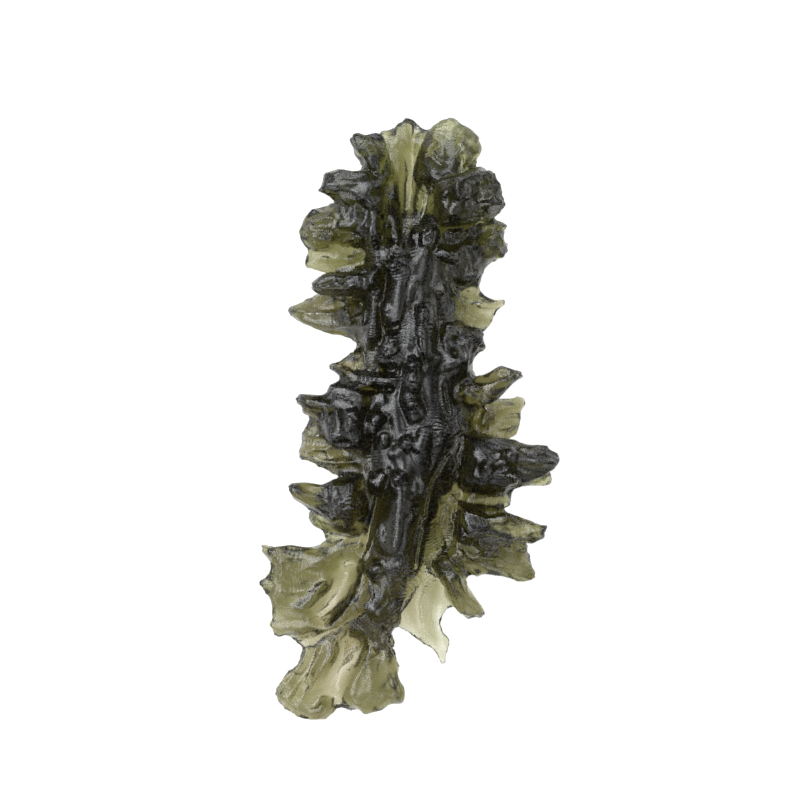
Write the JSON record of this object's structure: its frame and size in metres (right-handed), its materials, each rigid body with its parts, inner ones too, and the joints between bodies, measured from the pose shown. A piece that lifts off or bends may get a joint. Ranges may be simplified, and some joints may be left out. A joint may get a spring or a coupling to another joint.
{
  "type": "moldavite",
  "caption": "Raw moldavite: a long, deeply etched piece of olive-green natural glass with thin see-through fins and spikes all round a thick dark spine",
  "frame": {"origin": "centre of the bounding box in plan, on the surface the stone lies on", "axes": "+Y runs along the spine from the wide tail to the narrow crowned end, +X points to the side with the long paddle-shaped fin when seen from above with +Y up, +Z is up through the stone's thinnest direction"},
  "size_m": [0.021, 0.0424, 0.0105],
  "materials": {
    "olive_glass": "natural glass, olive green and see-through where thin, near black where thick; satin, rippled and speckled skin left by acid groundwater, never polished"
  },
  "bodies": {
    "root": {"moldavite": "olive_glass"}
  },
  "joints": []
}
